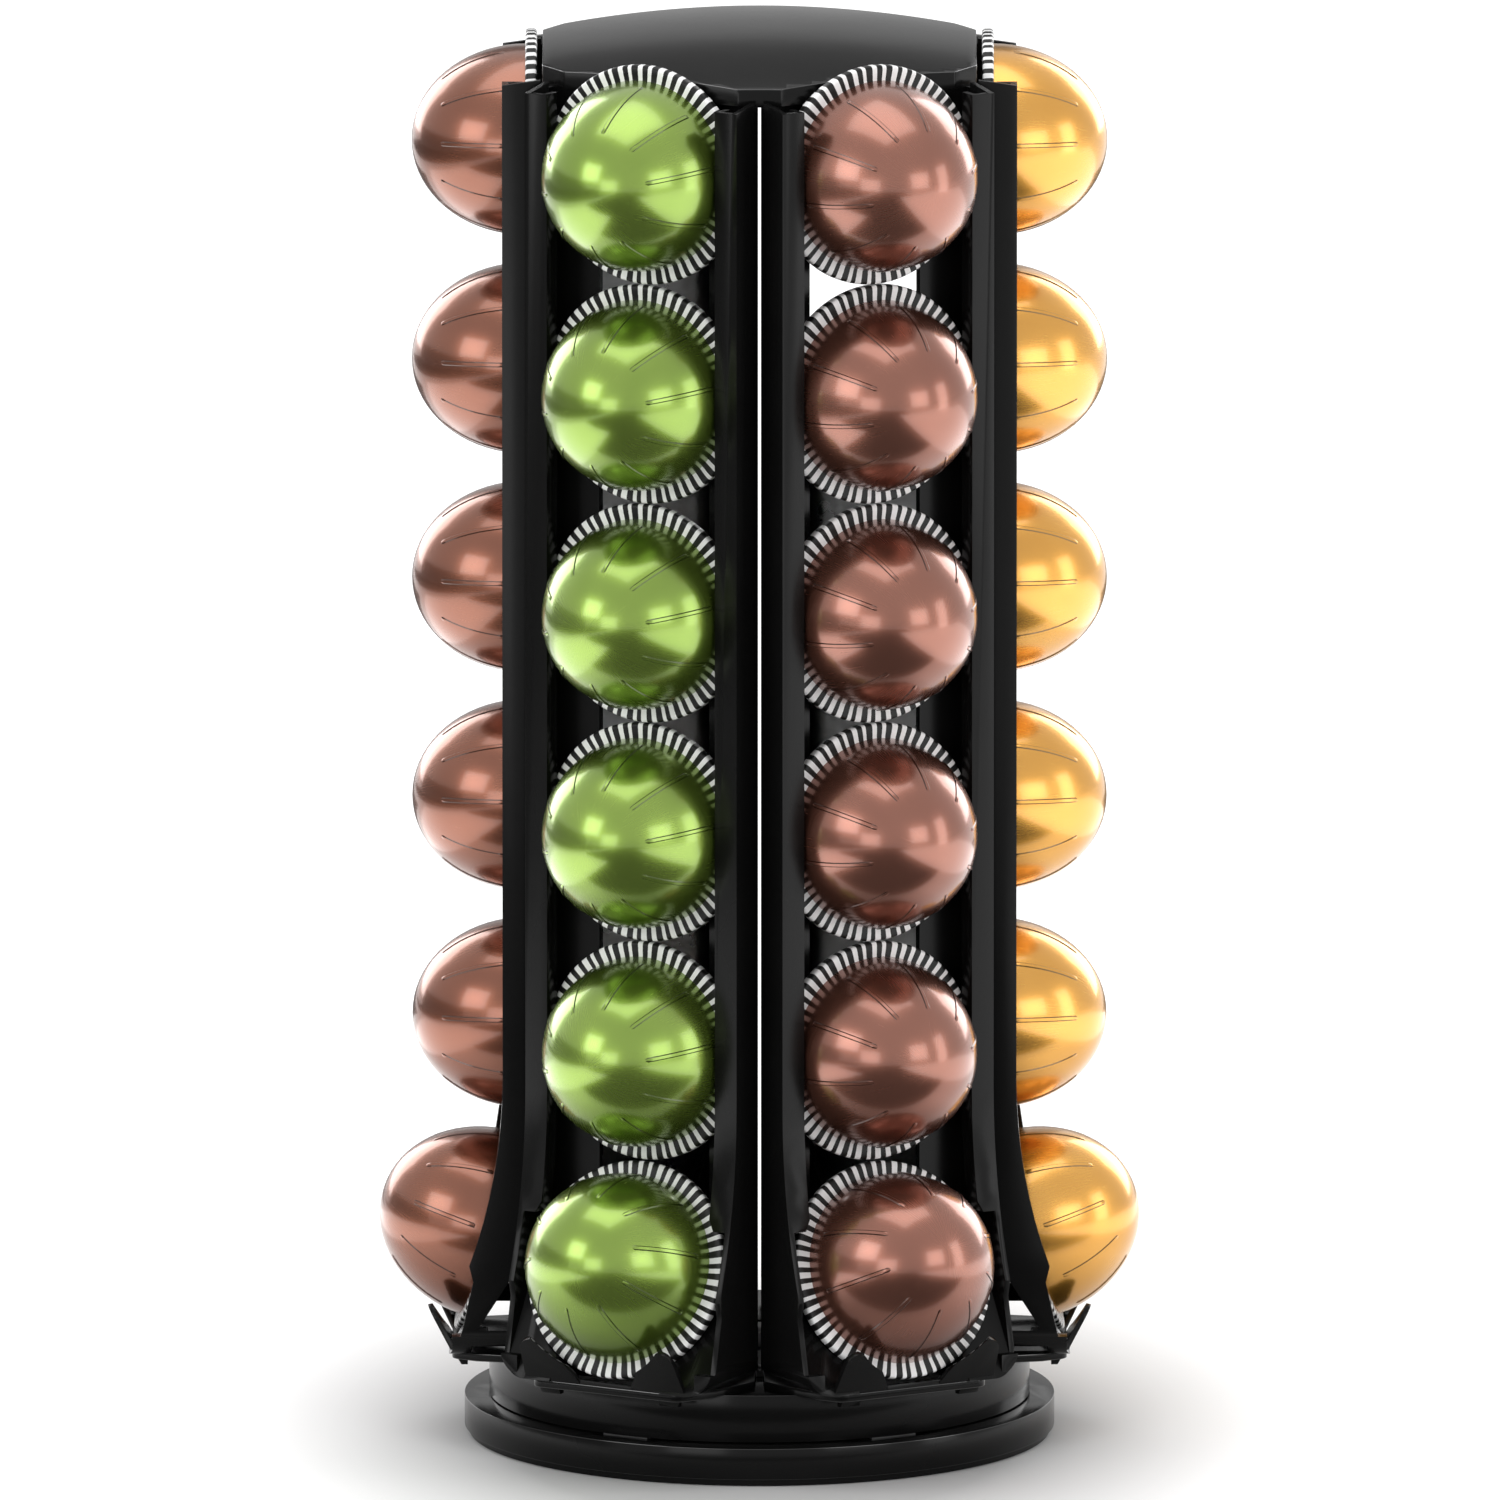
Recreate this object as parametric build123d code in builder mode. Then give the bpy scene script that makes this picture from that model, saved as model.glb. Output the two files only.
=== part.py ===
from build123d import *
from math import atan2, cos, degrees, pi, radians, sin, sqrt, tan
import os

os.makedirs("parts", exist_ok=True)

# A turning counter-top dispenser for domed coffee capsules.
# Millimetres. +Z is up, the floor is z = 0 and the turning axis is x = y = 0.
# Every column is drawn once, standing on the +X side: x is then the distance from the axis
# and y runs across the column. Copies are turned about Z into the six places.

# How many. Each column has room for upright_count capsules over its front one. The two columns
# at the back hold fewer.
column_count = 6
upright_count = 5
held_count = (5, 3, 4, 5, 5, 5)

# Capsule: a domed cup with a round rim, shut by a foil on its flat side
rim_diameter = 61.8
rim_band = 3.3
dome_diameter = 53.6
dome_height = 31.8
capsule_sides = 16
dome_steps = 3
dome_top_share = 0.28

# Where the capsules sit
foil_distance = 62.0
rim_gap = 0.2
seat_gap = 0.3
front_tilt = 20.0
front_distance = 73.6
front_height = 58.0

# Channel: the moulded rail that holds one column
channel_width = 68.0
channel_wall = 1.6
channel_slit = 0.84
front_face_distance = 71.7
lip_width = 7.0
lip_depth = 5.7
lip_plate = 1.8
back_distance = 57.0
back_window_width = 35.4
rail_overtop = 21.2
rail_slope = 1.5
rail_peak_distance = 61.0
flare_height = 106.0
flare_radius = 155.0
lip_end_height = 72.0
notch_drop = 4.5
notch_inset = 1.1
ramp_angle = 32.6
ramp_foot_distance = 84.9
web_tip_inset = 0.4
channel_floor = 1.3
cradle_start = 80.6
cradle_corner_radius = 8.0
cradle_corner_height = 6.2
cradle_corner_width = 5.5

# Fingers: the two hooks that hold the front capsule's rim
finger_lean = 28.0
finger_thickness = 1.4
finger_line = 85.0
finger_length = 13.7
finger_inner = 8.3
finger_outer = 25.5
finger_side_taper = 1.2
finger_crown_inner = 16.0
finger_round = 4.5

# Bridge and ledge at the channel's top
bridge_height = 10.0
ledge_depth = 9.0
ledge_thickness = 2.4
ledge_width = 16.0

# Snap legs under the channel's floor
leg_start = 16.0
leg_width = 6.0
leg_distance = 81.5
leg_thickness = 1.8
hook_reach = 0.9
hook_height = 1.5
hook_play = 0.3
slot_play = 0.15

# Foot pads under the base
foot_count = 6
foot_distance = 72.0
foot_length = 18.0
foot_width = 8.0
foot_proud = 2.0
foot_seat = 1.0

# Base
base_radius = 82.5
base_height = 10.8
base_wall = 16.0
base_plate = 2.6
base_rib = 2.0
pin_boss_radius = 14.0

# Turntable drum
drum_radius = 75.6
drum_wall = 2.4
drum_top_height = 24.6
drum_lift = 0.5
drum_rib = 2.0
drum_hub_radius = 12.0
pocket_count = 12

# Glide pads between base and drum
glide_count = 6
glide_distance = 72.4
glide_length = 14.0
glide_width = 5.0
glide_seat = 1.0
glide_play = 0.1

# Pivot bolt and lock nut
bolt_radius = 4.0
bolt_fit = 0.05
bolt_head_width = 13.0
bolt_head = 3.2
bolt_head_play = 0.3
bolt_end = 1.0
nut_width = 13.0
nut_height = 4.0
nut_fit = 0.02
nut_play = 0.1

# Carousel plate: the lobed sole that carries the channels
plate_thickness = 2.2
plate_hub_width = 96.0
plate_hole_width = 44.0
lobe_root_width = 64.0
lobe_root_distance = 58.0
lobe_shoulder_width = 54.0
lobe_shoulder_distance = 79.0
lobe_tip_width = 46.0
lobe_round = 4.0
lobe_slot_start = 76.1
lobe_slot_end = 80.0
lobe_slot_length = 22.0
plate_leg_distance = 40.0
plate_leg_width = 12.0
plate_leg_thickness = 1.8

# Top plate
top_plate_margin = 3.0
top_plate_tab_play = 0.2
top_plate_hole_width = 60.0
peg_width = 8.0
peg_thickness = 2.4
peg_distance = 51.0
lid_leg_width = 10.0
lid_leg_distance = 44.0
lid_leg_thickness = 1.6

# Lid
lid_apothem = 60.5
lid_corner_distance = 66.4
lid_side_height = 5.7
lid_gap = 0.3
lid_crown_radius = 412.0
lid_crown_steps = 3
lid_wall = 2.4
lid_edge_bevel = 1.0
lid_middle_share = 0.16

# Worked-out sizes
column_angle = 360 / column_count
rim_radius = rim_diameter / 2
dome_radius = dome_diameter / 2
capsule_pitch = rim_diameter + rim_gap
tilt = radians(front_tilt)
half_width = channel_width / 2
inner_half_width = half_width - channel_wall
window_half = back_window_width / 2
lip_edge = half_width - lip_width

front_rim_top = front_height + rim_radius * cos(tilt) + rim_band / 2 * sin(tilt)
first_upright_height = front_rim_top + seat_gap + rim_radius
top_upright_height = first_upright_height + (upright_count - 1) * capsule_pitch
rail_top = top_upright_height + rail_overtop

plate_top = drum_top_height + plate_thickness
floor_top = plate_top + channel_floor
bridge_top = rail_top - plate_thickness
top_plate_reach = peg_distance + top_plate_margin

# The side wall's front edge drops straight, then leans out on a long arc until it has the
# front capsule's tilt. Its rear edge drops straight, close beside the neighbouring channel's.
flare_centre = (front_face_distance + flare_radius, flare_height)
flare_end = (
    flare_centre[0] - flare_radius * cos(tilt),
    flare_centre[1] - flare_radius * sin(tilt),
)
notch = (flare_end[0] - notch_inset, flare_end[1] - notch_drop)
ramp_top = plate_top + (ramp_foot_distance - back_distance) / tan(radians(ramp_angle))
ramp_band = channel_wall / cos(radians(ramp_angle))

# The plane of the front fingers leans outwards from the sole
lean = radians(finger_lean)
finger_root = (channel_floor - finger_thickness * sin(lean)) / cos(lean)
finger_plane = Plane(
    origin=(finger_line, 0, floor_top),
    x_dir=(0, 1, 0),
    z_dir=(cos(lean), 0, -sin(lean)),
)


def capsule_plane(distance, height, lean_back, turn):
    """The plane of a capsule's foil, seen from its dome: its normal points out of the column."""
    around = radians(turn)
    rise = radians(lean_back)
    return Plane(
        origin=(distance * cos(around), distance * sin(around), height),
        x_dir=(-sin(around), cos(around), 0),
        z_dir=(cos(rise) * cos(around), cos(rise) * sin(around), sin(rise)),
    )


def save(piece, label):
    """Name a finished piece and write it to its own file."""
    piece.label = label
    export_step(piece, f"parts/{label}.step")


# Foot pads: soft blocks, let into the base, that keep it from sliding
foot_height = foot_proud + foot_seat
with BuildPart() as foot_pads:
    with BuildSketch():
        with PolarLocations(foot_distance, foot_count):
            Rectangle(foot_width, foot_length)
    extrude(amount=foot_height)
save(foot_pads.part, "foot_pads")


def pocket(inner, outer, rib):
    """One straight-sided pocket of a ribbed disc, between two ribs and the outer wall."""
    half_turn = radians(180 / pocket_count)
    reach = outer * cos(half_turn)
    Polygon(
        (inner, inner * tan(half_turn) - rib / 2),
        (inner, rib / 2 - inner * tan(half_turn)),
        (reach, rib / 2 - reach * tan(half_turn)),
        (reach, reach * tan(half_turn) - rib / 2),
        align=None,
    )


# Base: a disc ribbed and pocketed from below
base_ceiling = base_height - base_plate
head_space = bolt_head_width / 2 + bolt_head_play
with BuildPart() as base_disc:
    with BuildSketch(Plane.XY.offset(foot_proud)):
        Circle(base_radius)
    extrude(amount=base_height - foot_proud)
    with BuildSketch(Plane.XY.offset(foot_proud)):
        with PolarLocations(0, pocket_count, 180 / pocket_count):
            pocket(pin_boss_radius, base_radius - base_wall, base_rib)
        RegularPolygon(head_space, column_count, major_radius=False)
    extrude(amount=base_ceiling - foot_proud, mode=Mode.SUBTRACT)
    with BuildSketch(Plane.XY.offset(foot_proud)):
        with PolarLocations(foot_distance, foot_count):
            Rectangle(foot_width, foot_length)
    extrude(amount=foot_seat, mode=Mode.SUBTRACT)
    with BuildSketch(Plane.XY.offset(base_height)):
        with PolarLocations(glide_distance, glide_count):
            Rectangle(glide_width, glide_length)
    extrude(amount=-glide_seat, mode=Mode.SUBTRACT)
    with Locations((0, 0, base_height)):
        Hole(bolt_radius + bolt_fit, base_plate)
save(base_disc.part, "base_disc")

# Glide pads: slippery blocks, let into the base's top, that the drum's rim runs on
drum_bottom = base_height + drum_lift
with BuildPart() as glide_pads:
    with BuildSketch(Plane.XY.offset(base_height - glide_seat)):
        with PolarLocations(glide_distance, glide_count):
            Rectangle(glide_width, glide_length)
    extrude(amount=glide_seat + drum_lift - glide_play)
save(glide_pads.part, "glide_pads")


def slot(thickness, width, mode):
    """The slot a snap leg is pushed through: it has room for the leg to give way inwards."""
    with Locations(((thickness - hook_reach) / 2, 0)):
        Rectangle(thickness + hook_reach + slot_play * 2, width + slot_play * 2, mode=mode)


# Turntable drum: a ribbed cup, open below, with a hub round the pivot
drum_ceiling = drum_top_height - drum_wall
with BuildPart() as turntable_drum:
    with BuildSketch(Plane.XY.offset(drum_bottom)):
        Circle(drum_radius)
    extrude(amount=drum_top_height - drum_bottom)
    with BuildSketch(Plane.XY.offset(drum_bottom)):
        with PolarLocations(0, pocket_count):
            pocket(drum_hub_radius, drum_radius - drum_wall, drum_rib)
    extrude(amount=drum_ceiling - drum_bottom, mode=Mode.SUBTRACT)
    with BuildSketch(Plane.XY.offset(drum_ceiling)):
        with PolarLocations(plate_leg_distance, column_count, column_angle / 2):
            slot(plate_leg_thickness, plate_leg_width, Mode.ADD)
    extrude(amount=drum_wall, mode=Mode.SUBTRACT)
    with Locations((0, 0, drum_top_height)):
        Hole(bolt_radius + bolt_fit, drum_top_height)
save(turntable_drum.part, "turntable_drum")

# Pivot bolt, headed under the base, and the lock nut that keeps the drum on it
nut_bottom = drum_top_height + nut_play
with BuildPart() as pivot_bolt:
    with BuildSketch(Plane.XY.offset(base_ceiling)):
        RegularPolygon(bolt_head_width / 2, column_count, major_radius=False)
    extrude(amount=-bolt_head)
    with BuildSketch(Plane.XY.offset(base_ceiling)):
        Circle(bolt_radius)
    extrude(amount=nut_bottom + nut_height + bolt_end - base_ceiling)
save(pivot_bolt.part, "pivot_bolt")

with BuildPart() as lock_nut:
    with BuildSketch(Plane.XY.offset(nut_bottom)):
        RegularPolygon(nut_width / 2, column_count, major_radius=False)
        Circle(bolt_radius + nut_fit, mode=Mode.SUBTRACT)
    extrude(amount=nut_height)
save(lock_nut.part, "lock_nut")


def snap_leg(distance, thickness, top, seat, width, turn):
    """A springy leg that passes a slot and hooks outwards under the face at height seat."""
    barb = seat - hook_play
    with BuildSketch(Plane.XZ.rotated((0, 0, turn)).offset(-width / 2)) as profile:
        with BuildLine():
            Polyline(
                (distance, top),
                (distance, barb - hook_height),
                (distance + thickness, barb - hook_height),
                (distance + thickness + hook_reach, barb),
                (distance + thickness, barb),
                (distance + thickness, top),
                close=True,
            )
        make_face()
    extrude(profile.sketch, amount=width)


# Carousel plate: six lobes that meet in the middle, each slotted near its tip
floor_front = finger_line + finger_thickness / cos(lean) - channel_floor * tan(lean)
with BuildPart() as lobe:
    with BuildSketch(Plane.XY.offset(drum_top_height)) as lobe_outline:
        with BuildLine():
            Polyline(
                (0, 0),
                (lobe_root_distance, lobe_root_width / 2),
                (lobe_shoulder_distance, lobe_shoulder_width / 2),
                (floor_front, lobe_tip_width / 2),
                (floor_front, -lobe_tip_width / 2),
                (lobe_shoulder_distance, -lobe_shoulder_width / 2),
                (lobe_root_distance, -lobe_root_width / 2),
                close=True,
            )
        make_face()
        fillet(lobe_outline.vertices().group_by(Axis.X)[-1], lobe_round)
        with Locations(((lobe_slot_start + lobe_slot_end) / 2, 0)):
            Rectangle(lobe_slot_end - lobe_slot_start, lobe_slot_length, mode=Mode.SUBTRACT)
        with Locations(
            (leg_distance, leg_start + leg_width / 2),
            (leg_distance, -leg_start - leg_width / 2),
        ):
            slot(leg_thickness, leg_width, Mode.SUBTRACT)
    extrude(amount=plate_thickness)

with BuildPart() as carousel_plate:
    with PolarLocations(0, column_count):
        add(lobe.part)
    with BuildSketch(Plane.XY.offset(drum_top_height)):
        RegularPolygon(plate_hub_width / 2, pocket_count, major_radius=False)
    extrude(amount=plate_thickness)
    with BuildSketch(Plane.XY.offset(drum_top_height)):
        RegularPolygon(plate_hole_width / 2, column_count, major_radius=False)
    extrude(amount=plate_thickness, mode=Mode.SUBTRACT)
    for number in range(column_count):
        snap_leg(
            plate_leg_distance,
            plate_leg_thickness,
            plate_top,
            drum_ceiling,
            plate_leg_width,
            (number + 1 / 2) * column_angle,
        )
save(carousel_plate.part, "carousel_plate")

# Channel, drawn as its +Y half and mirrored
with BuildPart() as half_channel:
    # lip: a front plate with a return at its inner edge, hollow towards the rear
    with BuildSketch(Plane.XZ.offset(-inner_half_width)):
        with BuildLine():
            outer_line = Line((front_face_distance, rail_top), (front_face_distance, flare_height))
            outer_arc = CenterArc(flare_centre, flare_radius, 180, front_tilt)
            inner_arc = CenterArc(flare_centre, flare_radius + lip_depth, 180, front_tilt)
            Line(outer_arc @ 1, inner_arc @ 1)
            Polyline(inner_arc @ 0, (front_face_distance - lip_depth, rail_top), outer_line @ 0)
        make_face()
    extrude(amount=inner_half_width - lip_edge)
    with BuildSketch(Plane.XZ.offset(-inner_half_width)):
        with BuildLine():
            outer_line = Line(
                (front_face_distance - lip_plate, rail_top),
                (front_face_distance - lip_plate, flare_height),
            )
            outer_arc = CenterArc(flare_centre, flare_radius + lip_plate, 180, front_tilt)
            inner_arc = CenterArc(flare_centre, flare_radius + lip_depth, 180, front_tilt)
            Line(outer_arc @ 1, inner_arc @ 1)
            Polyline(inner_arc @ 0, (front_face_distance - lip_depth, rail_top), outer_line @ 0)
        make_face()
    extrude(amount=inner_half_width - lip_edge - channel_wall, mode=Mode.SUBTRACT)
    with BuildSketch(Plane.XZ.offset(-inner_half_width)):
        with Locations((front_face_distance, plate_top)):
            Rectangle(
                front_face_distance,
                lip_end_height - plate_top,
                align=(Align.CENTER, Align.MIN),
            )
    extrude(amount=inner_half_width, mode=Mode.SUBTRACT)
    # side wall, with a tip at the front that stands on the sole
    with BuildSketch(Plane.XZ.offset(-half_width)):
        with BuildLine():
            front_line = Line((front_face_distance, rail_top), (front_face_distance, flare_height))
            front_arc = CenterArc(flare_centre, flare_radius, 180, front_tilt)
            Polyline(
                front_arc @ 1,
                notch,
                (ramp_foot_distance - web_tip_inset, floor_top),
                (ramp_foot_distance - web_tip_inset, plate_top),
                (back_distance, plate_top),
                (back_distance, rail_top),
                (rail_peak_distance, rail_top),
                (rail_peak_distance, rail_top + rail_slope),
                front_line @ 0,
            )
        make_face()
    extrude(amount=channel_wall)
    # back strip and the ramp that it runs into
    with BuildSketch(Plane.XZ.offset(-inner_half_width)):
        with BuildLine():
            Polyline(
                (back_distance, rail_top),
                (back_distance, ramp_top),
                (ramp_foot_distance, plate_top),
                (ramp_foot_distance + ramp_band, plate_top),
                (back_distance + channel_wall, ramp_top + channel_wall / tan(radians(ramp_angle))),
                (back_distance + channel_wall, rail_top),
                close=True,
            )
        make_face()
    extrude(amount=inner_half_width - window_half)
    # bridge across the window's top, with the ledge that the top plate is pegged to
    with BuildSketch(Plane.XZ.offset(-window_half)):
        with Locations((back_distance, bridge_top)):
            Rectangle(channel_wall, bridge_height, align=(Align.MIN, Align.MAX))
    extrude(amount=window_half)
    with BuildSketch(Plane.XZ.offset(-ledge_width / 2)):
        with Locations((back_distance, bridge_top)):
            Rectangle(ledge_depth, ledge_thickness, align=(Align.MAX, Align.MAX))
    extrude(amount=ledge_width / 2)
    # sole and rounded corner of the cradle
    with BuildSketch(Plane.XZ.offset(-half_width)):
        with Locations((cradle_start, plate_top)):
            Rectangle(floor_front - cradle_start, channel_floor, align=(Align.MIN, Align.MIN))
    extrude(amount=half_width)
    with BuildSketch(Plane.XZ.offset(-half_width)):
        with Locations((cradle_start, plate_top)):
            Rectangle(floor_front - cradle_start, cradle_corner_height, align=(Align.MIN, Align.MIN))
    extrude(amount=cradle_corner_width)
    # finger
    with BuildSketch(finger_plane) as finger_outline:
        with BuildLine():
            Polyline(
                (finger_inner, -finger_root),
                (finger_inner, 0),
                (finger_crown_inner, finger_length),
                (finger_outer - finger_side_taper, finger_length),
                (finger_outer, 0),
                (finger_outer, -finger_root),
                close=True,
            )
        make_face()
        fillet(finger_outline.vertices().group_by(Axis.Y)[-1], finger_round)
    extrude(amount=finger_thickness)
    # snap leg with its hook
    with BuildSketch(Plane.XZ.offset(-leg_start - leg_width)):
        with BuildLine():
            Polyline(
                (leg_distance, floor_top),
                (leg_distance, drum_top_height - hook_play - hook_height),
                (leg_distance + leg_thickness, drum_top_height - hook_play - hook_height),
                (leg_distance + leg_thickness + hook_reach, drum_top_height - hook_play),
                (leg_distance + leg_thickness, drum_top_height - hook_play),
                (leg_distance + leg_thickness, floor_top),
                close=True,
            )
        make_face()
    extrude(amount=leg_width)

# Where the front capsule lies and leaves: a round passage along its own axis
foil_back = front_distance - (rim_band / 2 + seat_gap) * cos(tilt)
foil_back_height = front_height - (rim_band / 2 + seat_gap) * sin(tilt)
passage_plane = capsule_plane(foil_back, foil_back_height, front_tilt, 0)
leg_bottom = drum_top_height - hook_play - hook_height
sector_reach = ramp_foot_distance + flare_radius
sector_start = channel_slit / 2 / sin(radians(column_angle / 2))
sector_half = (sector_reach - sector_start) * tan(radians(column_angle / 2))
with BuildPart() as channel:
    add(half_channel.part)
    mirror(about=Plane.XZ)
    with BuildSketch(passage_plane):
        Circle(rim_radius + seat_gap)
    extrude(amount=flare_radius, mode=Mode.SUBTRACT)
    with BuildSketch(Plane.XY.offset(bridge_top)):
        with Locations((peg_distance, 0)):
            Rectangle(peg_thickness + slot_play * 2, peg_width + slot_play * 2)
    extrude(amount=-ledge_thickness, mode=Mode.SUBTRACT)
    # neighbours keep a slit between them
    with BuildSketch(Plane.XY.offset(leg_bottom)):
        with BuildLine():
            Polyline(
                (sector_start, 0),
                (sector_reach, sector_half),
                (sector_reach, -sector_half),
                close=True,
            )
        make_face()
    extrude(amount=rail_top + rail_slope - leg_bottom, mode=Mode.INTERSECT)
    # rounded lower corners and fingers trimmed to the sole
    with BuildSketch(Plane.YZ) as corner_outline:
        with Locations((0, plate_top)):
            Rectangle(
                channel_width,
                rail_top + rail_slope - plate_top,
                align=(Align.CENTER, Align.MIN),
            )
        fillet(corner_outline.vertices().group_by(Axis.Y)[0], cradle_corner_radius)
        with Locations((leg_start + leg_width / 2, plate_top), (-leg_start - leg_width / 2, plate_top)):
            Rectangle(leg_width, plate_top - leg_bottom, align=(Align.CENTER, Align.MAX))
    extrude(amount=sector_reach, mode=Mode.INTERSECT)

for number in range(column_count):
    with BuildPart() as turned_channel:
        add(channel.part, rotation=(0, 0, number * column_angle))
    save(turned_channel.part, f"channel_{number + 1}")

# Top plate: ties the channels together under the lid, with a peg in each channel's ledge
with BuildPart() as top_plate:
    with BuildSketch(Plane.XY.offset(bridge_top)):
        RegularPolygon(top_plate_reach, pocket_count, major_radius=False)
        RegularPolygon(
            top_plate_hole_width / 2, pocket_count, major_radius=False, mode=Mode.SUBTRACT
        )
        with PolarLocations((back_distance + channel_wall) / 2 + peg_distance / 2, column_count):
            Rectangle(
                back_distance + channel_wall - peg_distance,
                back_window_width - top_plate_tab_play * 2,
            )
        with PolarLocations(lid_leg_distance, column_count):
            slot(lid_leg_thickness, lid_leg_width, Mode.SUBTRACT)
    extrude(amount=plate_thickness)
    with BuildSketch(Plane.XY.offset(bridge_top)):
        with PolarLocations(peg_distance, column_count):
            Rectangle(peg_thickness, peg_width)
    extrude(amount=-ledge_thickness)
save(top_plate.part, "top_plate")


def tapered(size, sides, steps, turn, mode):
    """Stack up many-sided layers, each given by its flats' distance and height at both ends."""
    for (start, bottom), (end, top) in zip(steps, steps[1:]):
        with BuildSketch(Plane.XY.offset(bottom)) as outline:
            RegularPolygon(start * size, sides, major_radius=False, rotation=turn)
        slope = degrees(atan2((start - end) * size, top - bottom))
        extrude(outline.sketch, amount=top - bottom, taper=slope, mode=mode)


# Lid: a shallow faceted crown on a low side wall, its corners cut, held by snap legs
lid_bottom = rail_top + lid_gap
lid_edge_height = lid_bottom + lid_side_height
crown_edge = lid_apothem - lid_edge_bevel
crown_centre = lid_edge_height - sqrt(lid_crown_radius**2 - crown_edge**2)
lid_steps = [(lid_apothem, lid_bottom), (lid_apothem, lid_edge_height - lid_edge_bevel)]
for step in range(lid_crown_steps + 1):
    distance = crown_edge * (1 - (1 - lid_middle_share) * step / lid_crown_steps)
    lid_steps.append((distance, crown_centre + sqrt(lid_crown_radius**2 - distance**2)))
with BuildPart() as lid:
    tapered(1, column_count, lid_steps, column_angle / 2, Mode.ADD)
    with BuildSketch(Plane.XY.offset(lid_bottom)):
        RegularPolygon(lid_corner_distance, column_count, major_radius=False)
    extrude(amount=lid_steps[-1][1] - lid_bottom, mode=Mode.INTERSECT)
    with BuildSketch(Plane.XY.offset(lid_bottom)):
        RegularPolygon(
            lid_apothem - lid_wall, column_count, major_radius=False, rotation=column_angle / 2
        )
        RegularPolygon(
            lid_corner_distance - lid_wall, column_count, major_radius=False, mode=Mode.INTERSECT
        )
    extrude(amount=lid_side_height - lid_wall, mode=Mode.SUBTRACT)
    for number in range(column_count):
        snap_leg(
            lid_leg_distance,
            lid_leg_thickness,
            lid_edge_height - lid_edge_bevel,
            bridge_top,
            lid_leg_width,
            number * column_angle,
        )
save(lid.part, "lid")

# Capsule, drawn with its foil on z = 0 and its dome up: a flat rim under half an ellipse.
# Thirty-six of them are held, so each is drawn with few flat sides.
dome_steps_up = [(dome_radius, rim_band)]
for step in range(1, dome_steps):
    swing = radians(90 * (1 - dome_top_share) * step / dome_steps)
    dome_steps_up.append((dome_radius * cos(swing), rim_band + dome_height * sin(swing)))
dome_steps_up.append((dome_radius * dome_top_share, rim_band + dome_height))
with BuildPart() as capsule:
    with BuildSketch():
        RegularPolygon(rim_radius, capsule_sides)
    extrude(amount=rim_band)
    tapered(cos(pi / capsule_sides), capsule_sides, dome_steps_up, 0, Mode.ADD)

front_foil = front_distance - rim_band / 2 * cos(tilt)
front_foil_height = front_height - rim_band / 2 * sin(tilt)
for number in range(column_count):
    turn = number * column_angle
    with BuildPart() as stack:
        with Locations(
            [
                capsule_plane(foil_distance, first_upright_height + row * capsule_pitch, 0, turn)
                for row in range(held_count[number])
            ]
        ):
            add(capsule.part)
    save(stack.part, f"capsule_stack_{number + 1}")
    with BuildPart() as front_capsule:
        with Locations(capsule_plane(front_foil, front_foil_height, front_tilt, turn)):
            add(capsule.part)
    save(front_capsule.part, f"front_capsule_{number + 1}")
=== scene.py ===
# %% [markdown]
# A turning tower for domed coffee capsules. The solids of the tower are loaded first and stay
# where they are. They give every place and size here, so each new piece is drawn straight at
# its own place.

# %% Load the tower
from math import atan2, copysign, cos, pi, radians, sin, sqrt

import bmesh
import bpy
from mathutils import Matrix, Vector


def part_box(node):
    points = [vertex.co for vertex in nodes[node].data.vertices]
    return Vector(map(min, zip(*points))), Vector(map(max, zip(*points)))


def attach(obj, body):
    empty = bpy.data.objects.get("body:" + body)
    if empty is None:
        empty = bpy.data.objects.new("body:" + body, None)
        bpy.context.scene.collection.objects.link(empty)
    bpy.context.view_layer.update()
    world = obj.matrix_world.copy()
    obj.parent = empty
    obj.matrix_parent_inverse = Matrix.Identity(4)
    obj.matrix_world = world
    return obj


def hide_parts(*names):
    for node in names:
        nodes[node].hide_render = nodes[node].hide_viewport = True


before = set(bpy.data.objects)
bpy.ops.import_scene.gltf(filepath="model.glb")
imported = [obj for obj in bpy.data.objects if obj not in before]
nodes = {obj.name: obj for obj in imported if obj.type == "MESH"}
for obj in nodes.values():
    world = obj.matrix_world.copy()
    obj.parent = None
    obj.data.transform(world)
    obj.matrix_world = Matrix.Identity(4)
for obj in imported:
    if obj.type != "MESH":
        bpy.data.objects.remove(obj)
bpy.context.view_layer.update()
scene = bpy.context.scene
scene.view_settings.view_transform = "Standard"
MM = 0.001
COLUMNS = 6
print("solids loaded:", len(nodes))

# %% [markdown]
# The picture was taken from very far away with a long lens, a little above the middle of the
# tower, so upright edges stay upright and near things look no larger than far ones. A camera
# eighteen metres off with a narrow view does the same. Its aim is a few millimetres left of the
# turning axis, because the tower stands a little right of the picture's middle.

# %% Camera
CAMERA_DISTANCE = 18.0
CAMERA_RISE = radians(10.8)
VIEW_WIDTH = 0.419
AIM = Vector((-0.00265, 0.0, 0.1934))
SENSOR = 36.0
LENS_REACH = 100.0


def aim_at(thing, place, target):
    """Stand a camera or lamp at a place and turn it to look at a target."""
    thing.location = place
    thing.rotation_euler = (target - place).to_track_quat("-Z", "Y").to_euler()


lens = bpy.data.cameras.new("long_lens")
lens.sensor_width = SENSOR
lens.lens = SENSOR * CAMERA_DISTANCE / VIEW_WIDTH
lens.clip_end = LENS_REACH
camera = bpy.data.objects.new("camera", lens)
scene.collection.objects.link(camera)
offset = Vector((0.0, -cos(CAMERA_RISE), sin(CAMERA_RISE))) * CAMERA_DISTANCE
aim_at(camera, AIM + offset, AIM)
scene.camera = camera
print("lens length in mm:", round(lens.lens))

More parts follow.
